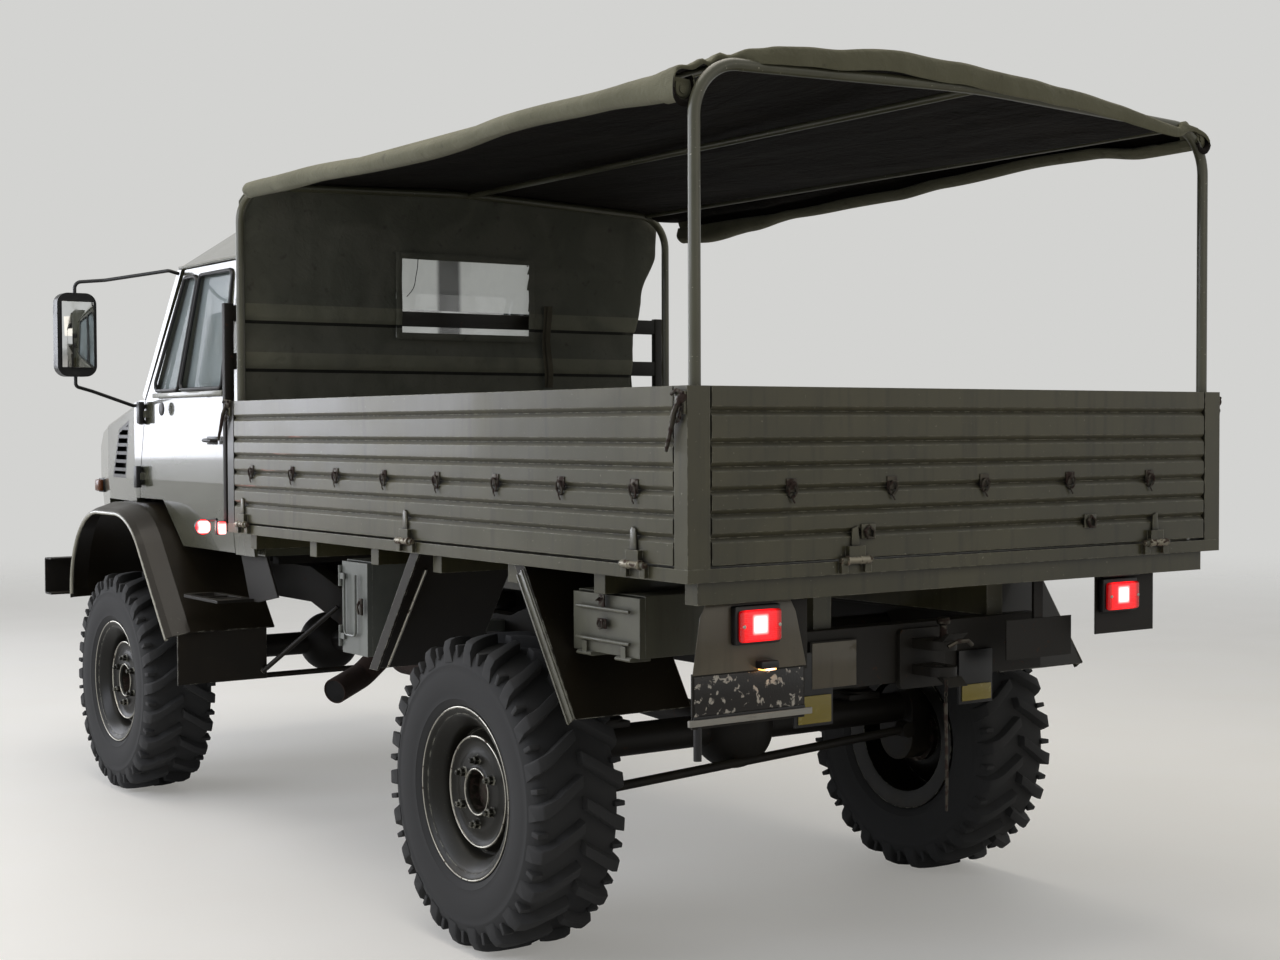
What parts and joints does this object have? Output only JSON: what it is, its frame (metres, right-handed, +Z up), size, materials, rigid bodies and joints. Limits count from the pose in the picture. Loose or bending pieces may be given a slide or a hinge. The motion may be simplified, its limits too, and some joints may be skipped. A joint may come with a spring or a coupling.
{
  "type": "military cargo truck",
  "caption": "Light four-wheel-drive bonneted cargo truck with portal axles, steel drop-side bed and a tarpaulin roof on bows.",
  "frame": {"origin": "on the ground at the middle of the overall box", "axes": "+X vehicle left, +Y rearward, +Z up; the truck faces -Y"},
  "size_m": [2.722, 5.563, 2.7193],
  "materials": {
    "tyre_rubber": "matt, dusty",
    "rim_olive": "semi-gloss olive with worn edges",
    "chassis_black": "satin, dusty",
    "cab_olive": "gloss",
    "bed_olive": "satin, scuffed",
    "grey_box": "satin",
    "rusty_steel": "rusty",
    "black_plastic": "grained",
    "clear_glass": "clear",
    "lamp_red": "ribbed lens",
    "tarpaulin": "coated canvas",
    "tarp_window": "soft clear film",
    "seat_vinyl": "grained vinyl"
  },
  "bodies": {
    "chassis": {"ladder_frame": "chassis_black", "front_bumper": "chassis_black", "engine_block": "chassis_black", "front_axle": "chassis_black", "rear_axle": "chassis_black", "springs": "chassis_black", "dampers": "chassis_black", "fuel_tank": "chassis_black", "exhaust": "rusty_steel", "can_locker": "grey_box", "toolbox": "bed_olive", "front_wings": "cab_olive", "rear_mudguards": "bed_olive", "tow_hitch": "chassis_black", "rear_lamp_bar": "grey_box", "tail_lamps": "lamp_red", "front_lamps": "clear_glass", "side_vents": "black_plastic", "cab_steps": "grey_box", "cab_floor": "chassis_black", "cab_back": "cab_olive", "cab_roof": "cab_olive", "cab_front": "cab_olive", "nose_panel": "cab_olive", "grille": "black_plastic", "cab_glass": "clear_glass", "dashboard": "black_plastic", "seats": "seat_vinyl", "mirrors": "black_plastic", "bed_floor": "bed_olive", "headboard": "bed_olive", "bed_posts": "bed_olive", "front_rack": "chassis_black", "canopy_bows": "bed_olive", "canopy_roof": "tarpaulin", "canopy_front": "tarpaulin", "canopy_window": "tarp_window"},
    "bonnet": {"bonnet": "cab_olive"},
    "door_left": {"door_left": "cab_olive", "door_glass_left": "clear_glass"},
    "door_right": {"door_right": "cab_olive", "door_glass_right": "clear_glass"},
    "gate_left": {"gate_left": "bed_olive"},
    "gate_right": {"gate_right": "bed_olive"},
    "tailgate": {"tailgate": "bed_olive"},
    "knuckle_left": {"knuckle_left": "chassis_black"},
    "knuckle_right": {"knuckle_right": "chassis_black"},
    "tie_rod": {"tie_rod": "chassis_black"},
    "toolbox_door": {"toolbox_door": "bed_olive"},
    "locker_door": {"locker_door": "grey_box"},
    "wheel_fl": {"tyre_fl": "tyre_rubber", "rim_fl": "rim_olive"},
    "wheel_fr": {"tyre_fr": "tyre_rubber", "rim_fr": "rim_olive"},
    "wheel_rl": {"tyre_rl": "tyre_rubber", "rim_rl": "rim_olive"},
    "wheel_rr": {"tyre_rr": "tyre_rubber", "rim_rr": "rim_olive"}
  },
  "joints": [
    {"name": "steer_left", "type": "hinge", "parent": "chassis", "child": "knuckle_left", "pos_m": [0.7, -1.709, 0.612], "axis": [0, 0, 1], "range_deg": [-32, 32]},
    {"name": "steer_right", "type": "hinge", "parent": "chassis", "child": "knuckle_right", "pos_m": [-0.7, -1.709, 0.612], "axis": [0, 0, 1], "range_deg": [-32, 32]},
    {"name": "tie_rod_pivot", "type": "hinge", "parent": "knuckle_left", "child": "tie_rod", "pos_m": [0.7, -1.509, 0.497], "axis": [0, 0, 1], "range_deg": [-32, 32]},
    {"name": "roll_fl", "type": "hinge", "parent": "knuckle_left", "child": "wheel_fl", "pos_m": [0.941, -1.709, 0.502], "axis": [1, 0, 0], "continuous": true},
    {"name": "roll_fr", "type": "hinge", "parent": "knuckle_right", "child": "wheel_fr", "pos_m": [-0.941, -1.709, 0.502], "axis": [1, 0, 0], "continuous": true},
    {"name": "roll_rl", "type": "hinge", "parent": "chassis", "child": "wheel_rl", "pos_m": [0.941, 1.541, 0.502], "axis": [1, 0, 0], "continuous": true},
    {"name": "roll_rr", "type": "hinge", "parent": "chassis", "child": "wheel_rr", "pos_m": [-0.941, 1.541, 0.502], "axis": [1, 0, 0], "continuous": true},
    {"name": "door_left_hinge", "type": "hinge", "parent": "chassis", "child": "door_left", "pos_m": [0.976, -1.687, 1.449], "axis": [0, -0.2316, -0.9728], "range_deg": [0, 65]},
    {"name": "door_right_hinge", "type": "hinge", "parent": "chassis", "child": "door_right", "pos_m": [-0.976, -1.687, 1.449], "axis": [0, 0.2316, 0.9728], "range_deg": [0, 65]},
    {"name": "bonnet_hinge", "type": "hinge", "parent": "chassis", "child": "bonnet", "pos_m": [0, -1.764, 1.797], "axis": [-1, 0, 0], "range_deg": [0, 55]},
    {"name": "gate_left_hinge", "type": "hinge", "parent": "chassis", "child": "gate_left", "pos_m": [1.109, 1.2185, 1.292], "axis": [0, 1, 0], "range_deg": [0, 178]},
    {"name": "gate_right_hinge", "type": "hinge", "parent": "chassis", "child": "gate_right", "pos_m": [-1.109, 1.2185, 1.292], "axis": [0, -1, 0], "range_deg": [0, 178]},
    {"name": "tailgate_hinge", "type": "hinge", "parent": "chassis", "child": "tailgate", "pos_m": [0, 2.773, 1.292], "axis": [-1, 0, 0], "range_deg": [0, 178]},
    {"name": "toolbox_lid", "type": "hinge", "parent": "chassis", "child": "toolbox_door", "pos_m": [1.012, 2.24, 1.006], "axis": [0, -1, 0], "range_deg": [-95, 0]},
    {"name": "locker_lid", "type": "hinge", "parent": "chassis", "child": "locker_door", "pos_m": [1.017, 0.523, 1.02], "axis": [0, 0, 1], "range_deg": [-95, 0]}
  ],
  "couplings": [
    {"joint": "steer_right", "follows": "steer_left", "ratio": 1},
    {"joint": "tie_rod_pivot", "follows": "steer_left", "ratio": -1}
  ]
}
